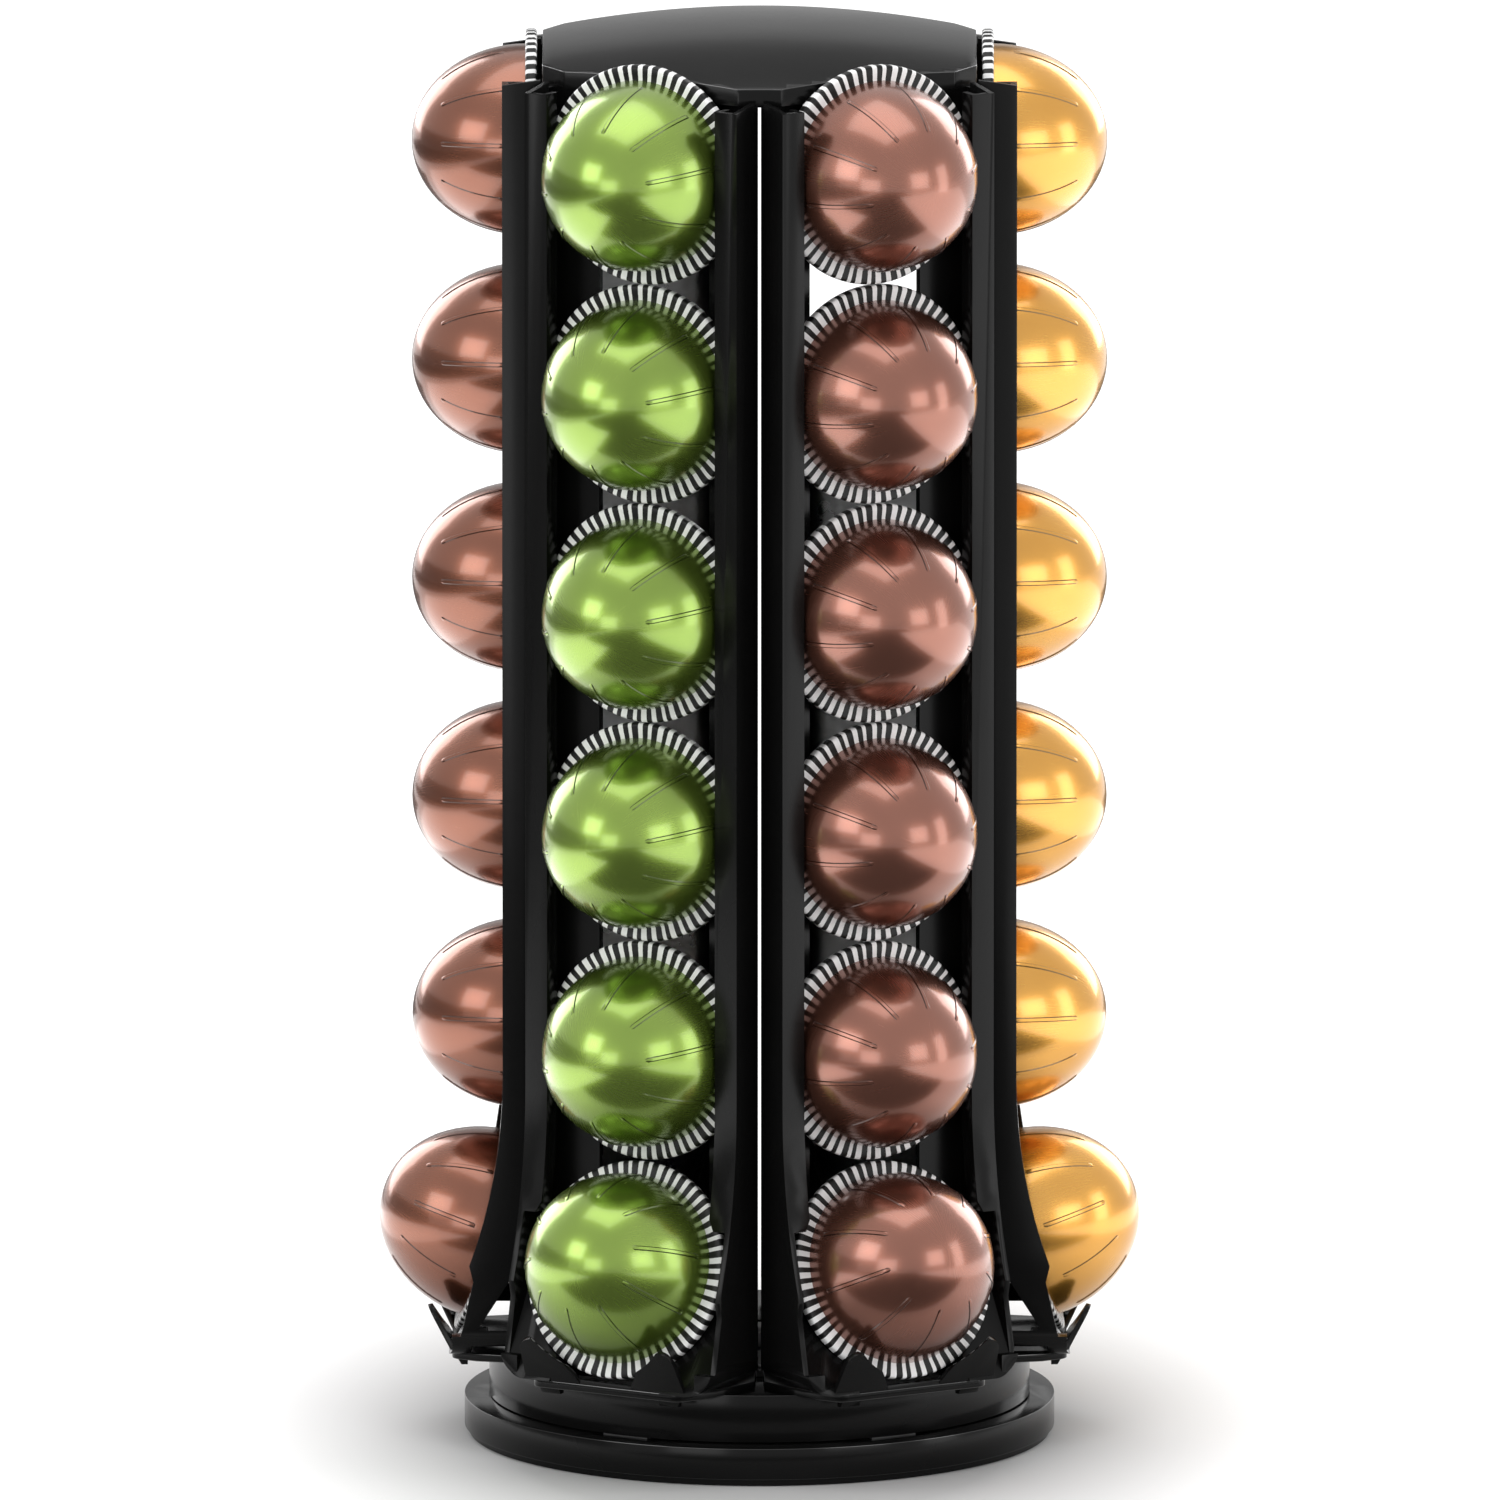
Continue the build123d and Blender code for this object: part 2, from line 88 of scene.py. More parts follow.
# %% [markdown]
# A finish is a small network of shader nodes. Written out node by node it soon fills pages, so
# two helpers come first. Socket wraps a number that varies over the surface and lets it stand
# in an ordinary sum, and every sum adds the Math nodes that it needs. Finish makes the material
# and has one method for every other kind of node. A Mix node has sockets of the same name for
# numbers and for colours, so those for colours are called by their numbers.

# %% Helpers for finishes
MIX_FACTOR, MIX_FIRST, MIX_SECOND, MIX_RESULT = 0, 6, 7, 2


class Socket:
    """A number that varies over a surface, ready to stand in a sum."""

    def __init__(self, finish, source):
        self.finish = finish
        self.source = source

    def work(self, operation, *others):
        values = dict(enumerate((self, *others)))
        node = self.finish.node("ShaderNodeMath", {"operation": operation}, values)
        return Socket(self.finish, node.outputs[0])

    def __add__(self, other):
        return self.work("ADD", other)

    def __sub__(self, other):
        return self.work("SUBTRACT", other)

    def __mul__(self, other):
        return self.work("MULTIPLY", other)

    def __gt__(self, other):
        return self.work("GREATER_THAN", other)

    def __rsub__(self, other):
        return self.work("MULTIPLY", -1.0) + other

    __radd__ = __add__
    __rmul__ = __mul__


class Finish:
    """A material with one Principled shader, whose fixed settings are given once."""

    def __init__(self, name, **fixed):
        self.material = bpy.data.materials.new(name)
        self.material.use_nodes = True
        self.tree = self.material.node_tree
        self.shader = self.tree.nodes["Principled BSDF"]
        for socket, value in fixed.items():
            self.shader.inputs[socket.replace("_", " ")].default_value = value

    def node(self, kind, settings=None, inputs=None):
        """Add a node, set it up, then fill or link its sockets."""
        node = self.tree.nodes.new(kind)
        for key, value in (settings or {}).items():
            setattr(node, key, value)
        for key, value in (inputs or {}).items():
            self.fill(node.inputs[key], value)
        return node

    def fill(self, socket, value):
        """Link a socket to a value that varies, or set it to one that doesn't."""
        if isinstance(value, Socket):
            value = value.source
        if isinstance(value, bpy.types.NodeSocket):
            self.tree.links.new(value, socket)
        else:
            socket.default_value = value

    def place(self, scale=(1.0, 1.0, 1.0), source="Object"):
        """Where a point of the surface is, stretched by a scale."""
        where = self.node("ShaderNodeTexCoord").outputs[source]
        return self.node("ShaderNodeMapping", {}, {"Vector": where, "Scale": scale}).outputs[0]

    def noise(self, scale, detail=3.0, stretch=(1.0, 1.0, 1.0), source="Object"):
        """Soft random variation, from 0 to 1."""
        inputs = {"Vector": self.place(stretch, source), "Scale": scale, "Detail": detail}
        return Socket(self, self.node("ShaderNodeTexNoise", {}, inputs).outputs[0])

    def mix(self, share, first, second):
        """A colour between two colours."""
        inputs = {MIX_FACTOR: share, MIX_FIRST: first, MIX_SECOND: second}
        return self.node("ShaderNodeMix", {"data_type": "RGBA"}, inputs).outputs[MIX_RESULT]

    def bump(self, height, strength, distance):
        """Make the surface uneven, by a height that varies over it."""
        inputs = {"Height": height, "Strength": strength, "Distance": distance}
        self.set("Normal", self.node("ShaderNodeBump", {}, inputs).outputs[0])

    def set(self, socket, value):
        """Fill a socket of the shader."""
        self.fill(self.shader.inputs[socket], value)


def grey(level):
    """A grey of a given level, as a colour."""
    return (level, level, level, 1.0)


print("helpers ready")

# %% [markdown]
# The studio is white all round. The camera, and whatever mirrors the room, sees a world of plain
# white. What lights the dull surfaces is dimmer, so that pale things keep their shading. The
# Light Path node tells the two kinds of ray apart.

# %% White surroundings
ROOM_LIGHT = 0.62
world = bpy.data.worlds.new("studio")
world.use_nodes = True
scene.world = world
room = world.node_tree
rays = room.nodes.new("ShaderNodeLightPath").outputs
seen = rays["Is Camera Ray"]
for ray in ("Is Glossy Ray", "Is Transmission Ray"):
    either = room.nodes.new("ShaderNodeMath")
    either.operation = "MAXIMUM"
    room.links.new(seen, either.inputs[0])
    room.links.new(rays[ray], either.inputs[1])
    seen = either.outputs[0]
level = room.nodes.new("ShaderNodeMapRange")
level.inputs["To Min"].default_value = ROOM_LIGHT
room.links.new(seen, level.inputs["Value"])
room.links.new(level.outputs[0], room.nodes["Background"].inputs["Strength"])
room.nodes["Background"].inputs["Color"].default_value = grey(1.0)
print("world ready")

# %% [markdown]
# Every shape below is drawn as a bmesh. The next helper turns a finished one into an object of
# the scene, with its finishes in order.

# %% Helper for objects
def make_object(name, shape, *finishes):
    """Turn a finished shape into an object of the scene."""
    mesh = bpy.data.meshes.new(name)
    shape.to_mesh(mesh)
    shape.free()
    for finish in finishes:
        mesh.materials.append(finish)
    made = bpy.data.objects.new(name, mesh)
    scene.collection.objects.link(made)
    return made


print("object helper ready")

# %% [markdown]
# The tower stands on a pale floor that runs on behind it. A dull white floor alone would come out
# light grey, so for the camera and for mirrored rays it gives off light of its own. This glow is
# held back close to the tower and grows with the distance from it, more slowly towards the front,
# so a painted shadow lies round the base: there nearly all the floor's brightness is lamp light.

# %% Floor
FLOOR_HALF = 14.0
FLOOR_GLOW = 0.85
PAINTED_SHADOW_RADIUS = 0.074
PAINTED_SHADOW_FADE = 10.0
PAINTED_SHADOW_FRONT_STRETCH = 0.6
paper = Finish("white_paper", Roughness=0.6, Specular_IOR_Level=0.0, Emission_Strength=1.0)
paper.set("Base Color", paper.mix(paper.noise(3.0), grey(0.58), grey(0.62)))
paths = paper.node("ShaderNodeLightPath").outputs
mirrored = Socket(paper, paths["Is Camera Ray"]).work("MAXIMUM", paths["Is Glossy Ray"])
spot = paper.place((1.0, PAINTED_SHADOW_FRONT_STRETCH, 1.0))
away = paper.node("ShaderNodeVectorMath", {"operation": "LENGTH"}, {0: spot})
# Painted shadow: the glow's share is nil within a ring round the base and grows outwards.
painted_shadow_lift = (Socket(paper, away.outputs["Value"]) - PAINTED_SHADOW_RADIUS) * PAINTED_SHADOW_FADE
painted_shadow_lift = painted_shadow_lift.work("MAXIMUM", 0.0).work("MINIMUM", 1.0)
paper.set("Emission Color", paper.mix(mirrored * painted_shadow_lift, grey(0.0), grey(FLOOR_GLOW)))
sheet = bmesh.new()
bmesh.ops.create_grid(sheet, x_segments=1, y_segments=1, size=FLOOR_HALF)
floor = make_object("floor", sheet, paper.material)
print("floor side in m:", 2 * FLOOR_HALF)

# %% [markdown]
# Shiny metal in an all white room looks flat. Photographers lay black and white card near it,
# outside the picture, so that it mirrors something. Here the cards glow with light of their own,
# and only mirrored rays meet them, so they neither show nor light the floor: what they add are
# painted reflections. Dark card lies in front of the tower and far out on the left, bright card
# lies close by on both sides, and grey card behind keeps the lid from mirroring white. The
# brightest cards stand behind on both sides and give the side domes their white crescents,
# which are painted highlights. A card is given by its name, one corner, its two sides and its
# glow.

# %% Glowing cards for painted reflections
LOW_LIFT = 0.002
HIGH_LIFT = 0.004
CARD_DIM = 0.9
CARDS = (
    ("front_card", (-0.70, -3.2, LOW_LIFT), (1.50, 0.0, 0.0), (0.0, 3.07, 0.0), 0.10),
    ("left_far_card", (-4.0, -3.2, HIGH_LIFT), (3.05, 0.0, 0.0), (0.0, 5.2, 0.0), 0.12),
    ("left_near_card", (-0.75, -0.45, HIGH_LIFT), (0.53, 0.0, 0.0), (0.0, 0.8, 0.0), 2.8),
    ("left_upright_card", (-2.0, -1.2, 0.0), (0.0, 2.6, 0.0), (0.0, 0.0, 0.5), 0.3),
    ("right_card", (0.30, -1.6, HIGH_LIFT), (2.2, 0.0, 0.0), (0.0, 2.2, 0.0), 2.6),
    ("back_low_card", (-0.20, 0.45, 0.20), (0.33, 0.0, 0.0), (0.0, 0.0, 0.32), 0.48),
    ("back_high_card", (-0.20, 0.45, 0.52), (0.33, 0.0, 0.0), (0.0, 0.0, 0.18), 0.20),
    ("back_floor_card", (-0.6, 0.55, LOW_LIFT), (1.2, 0.0, 0.0), (0.0, 1.2, 0.0), 0.15),
    ("back_far_card", (-0.6, 1.75, 0.0), (1.2, 0.0, 0.0), (0.0, 0.0, 0.45), 0.40),
    ("left_rim_card", (-2.3, 1.7, 0.25), (1.65, 0.0, 0.0), (0.0, 0.0, 1.7), 5.0),
    ("right_rim_card", (0.65, 1.7, 0.25), (1.65, 0.0, 0.0), (0.0, 0.0, 1.7), 5.0),
)
for name, corner, first_side, second_side, bright in CARDS:
    card_shape = bmesh.new()
    start, first, second = Vector(corner), Vector(first_side), Vector(second_side)
    outline = (start, start + first, start + first + second, start + second)
    card_shape.faces.new([card_shape.verts.new(point) for point in outline])
    painted_reflection = Finish(
        f"{name}_paint", Roughness=0.9, Specular_IOR_Level=0.0, Emission_Strength=1.0,
    )
    painted_reflection.set("Base Color", painted_reflection.mix(painted_reflection.noise(2.0), grey(0.02), grey(0.03)))
    # The glow is what the metal and the black gloss mirror: a painted reflection.
    glow = painted_reflection.mix(painted_reflection.noise(3.0), grey(bright * CARD_DIM), grey(bright))
    painted_reflection.set("Emission Color", glow)
    card = make_object(name, card_shape, painted_reflection.material)
    for sight in ("camera", "diffuse", "transmission", "volume_scatter", "shadow"):
        setattr(card, f"visible_{sight}", False)
print("cards:", len(CARDS))

# %% [markdown]
# Black gloss and shiny metal show nothing but what they mirror, so the lamps are wide panels
# rather than points. Each is given by its glow, which is what a mirror would show of it, and
# its power follows from that and its area.

# %% Lamps
LAMP_TARGET = Vector((0.0, 0.0, 0.2))
LAMPS = (
    ("left_panel", (-1.5, -1.2, 0.9), (0.9, 0.75), 3.6),
    ("front_left_panel", (-0.95, -2.1, 0.42), (0.9, 0.6), 2.5),
    ("front_right_panel", (1.25, -1.6, 0.62), (0.9, 0.7), 2.6),
    ("right_panel", (1.7, -0.5, 0.5), (0.5, 0.9), 2.6),
    ("top_panel", (-0.1, -0.1, 1.9), (1.4, 1.4), 2.0),
)
for name, place, size, bright in LAMPS:
    panel = bpy.data.lights.new(name, "AREA")
    panel.shape = "RECTANGLE"
    panel.size, panel.size_y = size
    panel.energy = pi * size[0] * size[1] * bright
    lamp = bpy.data.objects.new(name, panel)
    scene.collection.objects.link(lamp)
    aim_at(lamp, Vector(place), LAMP_TARGET)
print("lamps:", len(LAMPS))

# %% [markdown]
# The tower is moulded in black gloss plastic. Such plastic is never evenly black: its skin is
# slightly wavy and its shine varies a little over a few centimetres. Slow noise drives the
# roughness and a very faint bump, and the colour drifts by a hair. Handling has polished the
# edges, so they have a brighter finish of the same kind.

# %% Black gloss plastic
CLOUD_SCALE = 28.0
GRAIN_SCALE = 900.0
WAVE_SCALE = 60.0
WAVE_DEPTH = 0.0004


def black_plastic(name, dark, light, rough, wave, shine=0.14):
    """A black moulded finish between two greys, with a given shine and waviness."""
    finish = Finish(name, Specular_IOR_Level=shine)
    cloud = finish.noise(CLOUD_SCALE, 4.0)
    grain = finish.noise(GRAIN_SCALE, 2.0)
    finish.set("Base Color", finish.mix(cloud, grey(dark), grey(light)))
    finish.set("Roughness", cloud * 0.07 + grain * 0.04 + rough)
    finish.bump(finish.noise(WAVE_SCALE, 2.0) * 0.8 + grain * 0.06, wave, WAVE_DEPTH)
    return finish.material


gloss_black = black_plastic("gloss_black", 0.003, 0.006, 0.12, 0.10)
channel_black = black_plastic("channel_black", 0.003, 0.006, 0.16, 0.12)
edge_black = black_plastic("polished_edge", 0.004, 0.008, 0.10, 0.05, 0.9)
print("black finishes:", gloss_black.name, channel_black.name)

# %% [markdown]
# The small parts inside have finishes of their own: soft rubber pads with a fine grain, dark
# slippery glide pads, and a plated bolt and nut with turning marks.

# %% Rubber, glide plastic and steel
rubber = Finish("soft_rubber", Specular_IOR_Level=0.3)
rubber_grain = rubber.noise(1400.0, 3.0)
rubber.set("Base Color", rubber.mix(rubber_grain, grey(0.012), grey(0.03)))
rubber.set("Roughness", rubber_grain * 0.2 + 0.6)
rubber.bump(rubber_grain, 0.4, 0.0002)

glide = Finish("glide_plastic")
glide_cloud = glide.noise(120.0, 3.0)
glide.set("Base Color", glide.mix(glide_cloud, grey(0.02), grey(0.05)))
glide.set("Roughness", glide_cloud * 0.15 + 0.35)

steel = Finish("plated_steel", Metallic=1.0)
steel_marks = steel.noise(160.0, 4.0, (1.0, 1.0, 14.0))
steel.set("Base Color", steel.mix(steel_marks, grey(0.48), grey(0.66)))
steel.set("Roughness", steel_marks * 0.2 + 0.22)
steel.bump(steel_marks, 0.15, 0.0001)
print("inner finishes ready")

# %% [markdown]
# A capsule is a thin aluminium cup. Its lacquer is see-through and coloured, so it is a metal with
# a tinted colour under a thin clear coat. Drawing the cup leaves faint marks that run from the
# rim to the tip. They follow the surface, so they read the capsule's own UV map: across it
# runs the angle round the cup, and up it the way from the foil to the tip. Each colour also has
# a much darker copy, painted shade on the sloping sides of the ridges, so that they read as dark
# lines.

# %% Lacquered aluminium
DRAWN_MARKS = (260.0, 5.0, 1.0)
DOME_ROUGH = 0.22
FOLD_ROUGH = 0.30
RIDGE_PAINTED_SHADE = 0.22


def lacquer(name, deep, bright, rough):
    """A tinted metal finish between a deep and a bright colour."""
    finish = Finish(name, Metallic=0.85, Coat_Roughness=0.12)
    streaks = finish.noise(1.0, 3.0, DRAWN_MARKS, "UV")
    cloud = finish.noise(45.0, 2.0)
    finish.set("Base Color", finish.mix(cloud * 0.8 + streaks * 0.2, deep, bright))
    finish.set("Roughness", streaks * 0.04 + cloud * 0.05 + rough)
    finish.set("Coat Weight", cloud * 0.2 + 0.65)
    finish.bump(streaks, 0.02, 0.0001)
    return finish.material


LACQUER_COLOURS = {
    "gold": ((0.55, 0.245, 0.030), (0.76, 0.40, 0.075)),
    "copper": ((0.175, 0.058, 0.031), (0.25, 0.09, 0.050)),
    "green": ((0.16, 0.26, 0.03), (0.26, 0.38, 0.06)),
    "brown": ((0.21, 0.08, 0.052), (0.30, 0.12, 0.082)),
}
LACQUER = {}
PAINTED_SHADE_LACQUER = {}
for colour, (deep, bright) in LACQUER_COLOURS.items():
    LACQUER[colour] = lacquer(f"lacquer_{colour}", (*deep, 1.0), (*bright, 1.0), DOME_ROUGH)
    # Painted shade: a darker copy of each lacquer for the sloping sides of the ridges.
    shaded_tones = [(*(share * RIDGE_PAINTED_SHADE for share in tone), 1.0) for tone in (deep, bright)]
    PAINTED_SHADE_LACQUER[colour] = lacquer(f"painted_ridge_shade_{colour}", *shaded_tones, FOLD_ROUGH)
print("lacquers:", ", ".join(LACQUER))

# %% [markdown]
# Round the rim runs a ring of short black and white bars of uneven width. Bars are cut from the
# angle in the UV map: it is multiplied by the number of bars, the fraction that is left runs
# from 0 to 1 over one bar, and a random number per bar shifts the edge between black and
# white. The foil that shuts the cup is bare aluminium with fine creases.

# %% Rim bars and foil
BARS = 58
BAR_SLANT = 0.6
SHORTEST_BAR = 0.42
BAR_SPREAD = 0.24
bars = Finish("rim_bars", Specular_IOR_Level=0.2)
parts = bars.node("ShaderNodeSeparateXYZ", {}, {0: bars.place(source="UV")}).outputs
around = Socket(bars, parts[0]) * BARS + Socket(bars, parts[1]) * BAR_SLANT
step = around.work("FLOOR")
chance = bars.node("ShaderNodeTexWhiteNoise", {"noise_dimensions": "1D"}, {"W": step})
edge = Socket(bars, chance.outputs["Value"]) * BAR_SPREAD + SHORTEST_BAR
white_bar = around.work("FRACT") > edge
print_grain = bars.noise(700.0, 2.0)
white = bars.mix(print_grain, grey(0.90), grey(0.97))
bars.set("Base Color", bars.mix(white_bar, grey(0.009), white))
bars.set("Roughness", print_grain * 0.1 + 0.3)

foil = Finish("bare_foil", Metallic=1.0)
creases = foil.noise(140.0, 5.0)
foil.set("Base Color", foil.mix(creases, grey(0.78), grey(0.90)))
foil.set("Roughness", creases * 0.16 + 0.22)
foil.bump(creases, 0.3, 0.0003)
print("bars round each rim:", BARS)

# %% [markdown]
# All the capsules share one form: a line from the middle of the foil, round the rolled rim and
# up the dome to its tip, is spun about the cup's axis. The dome is half an ellipse, a little
# taller than it is wide. In a mesh, a spin whose ends meet needs its doubled points merged, at
# the seam and at both poles. The faces of the dome, the rim and the foil get different finishes.

# %% Capsule body
DOME_FACE, RIM_FACE, FOIL_FACE, PAINTED_SHADE_FACE = range(4)
MERGE = 1e-6
RIM = 30.9
FOIL_HALF = 27.8
FOIL_HIGH = 1.0
DOME = 26.7
DOME_FOOT = 3.2
DOME_RISE = 31.8
SPIN_STEPS = 72
DOME_STEPS = 18
RIM_LINE = (
    (0.0, 0.12), (9.0, 0.12), (18.0, 0.12), (26.4, 0.12), (27.6, 0.35), (28.4, 0.10),
    (29.4, 0.0), (30.2, 0.05), (30.7, 0.3), (30.9, 0.8), (30.9, 2.4), (30.8, 2.8),
    (30.5, 3.1), (30.0, 3.25), (28.5, 3.25), (27.2, 3.15),
)


def dome_point(swing):
    """Distance from the axis and height of the dome's surface at an angle from its foot."""
    return DOME * cos(swing), DOME_FOOT + DOME_RISE * sin(swing)


def smooth(shape):
    """Shade every face of a shape as part of one smooth surface."""
    for face in shape.faces:
        face.smooth = True


def spun(line, steps, closed=False):
    """Spin an outline of distances from the axis and heights, in mm, into a body."""
    shape = bmesh.new()
    points = [shape.verts.new((r * MM, 0.0, z * MM)) for r, z in line]
    following = points[1:] + points[:1] if closed else points[1:]
    edges = [shape.edges.new(pair) for pair in zip(points, following)]
    bmesh.ops.spin(
        shape, geom=points + edges, cent=(0, 0, 0), axis=(0, 0, 1),
        angle=2 * pi, steps=steps, use_merge=True,
    )
    bmesh.ops.remove_doubles(shape, verts=shape.verts, dist=MERGE)
    bmesh.ops.recalc_face_normals(shape, faces=shape.faces)
    smooth(shape)
    return shape


def cup():
    """The capsule's spun body, foil down, with its UV map and its finishes."""
    line = list(RIM_LINE)
    line += [dome_point(pi / 2 * number / DOME_STEPS) for number in range(DOME_STEPS)]
    line.append((0.0, DOME_FOOT + DOME_RISE))
    shape = spun(line, SPIN_STEPS)
    uv = shape.loops.layers.uv.new("around")
    for face in shape.faces:
        middle = face.calc_center_median()
        far = middle.xy.length
        on_foil = far < FOIL_HALF * MM and middle.z < FOIL_HIGH * MM
        face.material_index = FOIL_FACE if on_foil else RIM_FACE
        if middle.z > DOME_FOOT * MM and far < DOME * MM:
            face.material_index = DOME_FACE
        heading = atan2(middle.y, middle.x)
        for corner in face.loops:
            spot = corner.vert.co
            turn = atan2(spot.y, spot.x) if spot.xy.length > MERGE else heading
            turn += 2 * pi * round((heading - turn) / (2 * pi))
            corner[uv].uv = (turn / (2 * pi), spot.z / (DOME_RISE * MM))
    return shape


print("points on a capsule's outline:", len(RIM_LINE) + DOME_STEPS + 1)

# %% [markdown]
# Each dome has ten fine stiffening ridges that run up from the rim and end before the tip. One
# ridge is a narrow flat grid laid on the dome: its middle stands proud, its edges dip below
# the surface and are painted darker, as painted shade, and its upper end is narrower. The grid
# is then given a back, so that it is a closed body, and turned into its ten places.

# %% Ridges
RIDGES = 10
RIDGE_FOOT_HALF = 0.90
RIDGE_TOP_HALF = 0.40
RIDGE_PROUD = 0.22
RIDGE_SUNK = 0.25
RIDGE_ROWS = 16
RIDGE_STRIPS = 5
INNER_LINE = 0.6
RIDGE_END = 0.45
RIDGE_BACK = 0.3
BACK_SLOPE = 0.5
RIDGE_FOOT = radians(9.0)


def add_ridges(shape, top, turn):
    """Lay the ridges on a dome: top is their upper end's distance from the axis, in mm."""
    high = sqrt(1 - (top / DOME) ** 2)
    reach = atan2(high, top / DOME)
    for number in range(RIDGES):
        grid = bmesh.ops.create_grid(
            shape, x_segments=RIDGE_STRIPS, y_segments=RIDGE_ROWS, size=1.0,
        )
        made = grid["verts"]
        for point in made:
            across, along = point.co.x, (point.co.y + 1) / 2
            swing = RIDGE_FOOT + (reach - RIDGE_FOOT) * along
            r, z = dome_point(swing)
            outer = abs(across) > (1 + INNER_LINE) / 2
            lower, upper = along < 0.5 / RIDGE_ROWS, along > 1 - 0.5 / RIDGE_ROWS
            side = across / INNER_LINE * RIDGE_TOP_HALF
            if outer:
                side = copysign(RIDGE_FOOT_HALF, across)
            narrow = RIDGE_END if upper else 1.0
            buried = outer or lower or upper
            out = Vector((cos(swing) / DOME, 0.0, sin(swing) / DOME_RISE)).normalized()
            proud = -RIDGE_SUNK if buried else RIDGE_PROUD
            point.co = Vector((r, side * narrow, z)) * MM + out * proud * MM
        faces = list({face for point in made for face in point.link_faces})
        for face in faces:
            face.smooth = True
            # The sloping sides of the ridge get the darker lacquer: painted shade.
            if abs(face.calc_center_median().y) > RIDGE_TOP_HALF * 0.9 * MM:
                face.material_index = PAINTED_SHADE_FACE
        bmesh.ops.recalc_face_normals(shape, faces=faces)
        back = bmesh.ops.extrude_face_region(shape, geom=faces)
        under = [item for item in back["geom"] if isinstance(item, bmesh.types.BMVert)]
        for point in under:
            inward = Vector((-point.co.x, -point.co.y, -point.co.z * BACK_SLOPE))
            point.co += inward.normalized() * RIDGE_BACK * MM
        whole = made + under
        bmesh.ops.recalc_face_normals(shape, faces=list({f for v in whole for f in v.link_faces}))
        spin = Matrix.Rotation(radians(turn + number * 360 / RIDGES), 4, "Z")
        bmesh.ops.transform(shape, matrix=spin, verts=whole)


print("ridges on a dome:", RIDGES)

# %% [markdown]
# Each column holds up to five upright capsules, foil to the axis, and one in the cradle that
# leans back. The two columns at the back aren't full. The capsules replace the plain solids,
# and those of a column ride on two bodies, so that the upright ones can be lifted out together
# and the lowest one pulled away by itself. A column faces out from the axis, and its own side
# direction lies across that. Its colour, how far its ridges are turned and how near the tip they
# end were read off the picture, or guessed for the two at the back.

# %% Place the capsules
COLOURS = ("gold", "gold", "copper", "copper", "green", "brown")
RIDGE_TURNS = (-6.0, 3.0, -6.0, 6.0, 11.0, 11.0)
RIDGE_TOPS = (17.5, 16.0, 16.0, 17.5, 15.5, 15.5)
UPRIGHTS = (5, 3, 4, 5, 5, 5)
PITCH = 62.0
FOIL_DISTANCE = 62.0
FIRST_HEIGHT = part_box("capsule_stack_1")[0].z / MM + RIM
FRONT_TILT = radians(20.0)
FRONT_MIDDLE = (73.6, 58.0)
HALF_RIM = 1.65
FRONT_DISTANCE = FRONT_MIDDLE[0] - HALF_RIM * cos(FRONT_TILT)
FRONT_HEIGHT = FRONT_MIDDLE[1] - HALF_RIM * sin(FRONT_TILT)
SHARP_ANGLE = 33.0


def column_axes(column):
    """The outward and the side direction of a column."""
    heading = 2 * pi * column / COLUMNS
    out = Vector((cos(heading), sin(heading), 0.0))
    return out, Vector((-out.y, out.x, 0.0))


def capsule_place(column, distance, height, tilt):
    """The matrix that stands a capsule in its column, its dome pointing out."""
    out, side = column_axes(column)
    dome = out * cos(tilt) + Vector((0.0, 0.0, sin(tilt)))
    turned = Matrix((side, dome.cross(side), dome)).transposed().to_4x4()
    return Matrix.Translation((out * distance + Vector((0.0, 0.0, height))) * MM) @ turned


def new_piece(name, shape, finishes, rides_on):
    """Make an object of a finished shape and tie it to its body."""
    piece = make_object(name, shape, *finishes)
    piece.data.set_sharp_from_angle(angle=radians(SHARP_ANGLE))
    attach(piece, rides_on)
    return piece


for column in range(COLUMNS):
    colour = COLOURS[column]
    finishes = [LACQUER[colour], bars.material, foil.material, PAINTED_SHADE_LACQUER[colour]]
    single = cup()
    add_ridges(single, RIDGE_TOPS[column], RIDGE_TURNS[column])
    template = bpy.data.meshes.new("capsule_template")
    single.to_mesh(template)
    single.free()
    stack = bmesh.new()
    for row in range(UPRIGHTS[column]):
        before = len(stack.verts)
        stack.from_mesh(template)
        place = capsule_place(column, FOIL_DISTANCE, FIRST_HEIGHT + row * PITCH, 0.0)
        bmesh.ops.transform(stack, matrix=place, verts=stack.verts[before:])
    label = column + 1
    piece = new_piece(f"upright_capsules_{label}", stack, finishes, f"stack_{label}")
    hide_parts(f"capsule_stack_{label}")
    front = bmesh.new()
    front.from_mesh(template)
    place = capsule_place(column, FRONT_DISTANCE, FRONT_HEIGHT, FRONT_TILT)
    bmesh.ops.transform(front, matrix=place, verts=front.verts)
    piece = new_piece(f"cradle_capsule_{label}", front, finishes, f"front_{label}")
    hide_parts(f"front_capsule_{label}")
    bpy.data.meshes.remove(template)
print("capsules placed:", COLUMNS + sum(UPRIGHTS))

# %% [markdown]
# The moulded parts have the right form already, but their edges are knife sharp, and real moulded
# edges are slightly round and catch a thin line of light. A copy of each solid is cleaned up:
# doubled points are merged, flat areas become single faces again, and then every sharp edge
# gets a small rounding. At the sides of the tower the columns' walls show a three-cornered
# opening below the ramp, and at the front they show none, so four columns get it: the wall's
# two faces are cut along its outline, and the rims of the cut are joined.

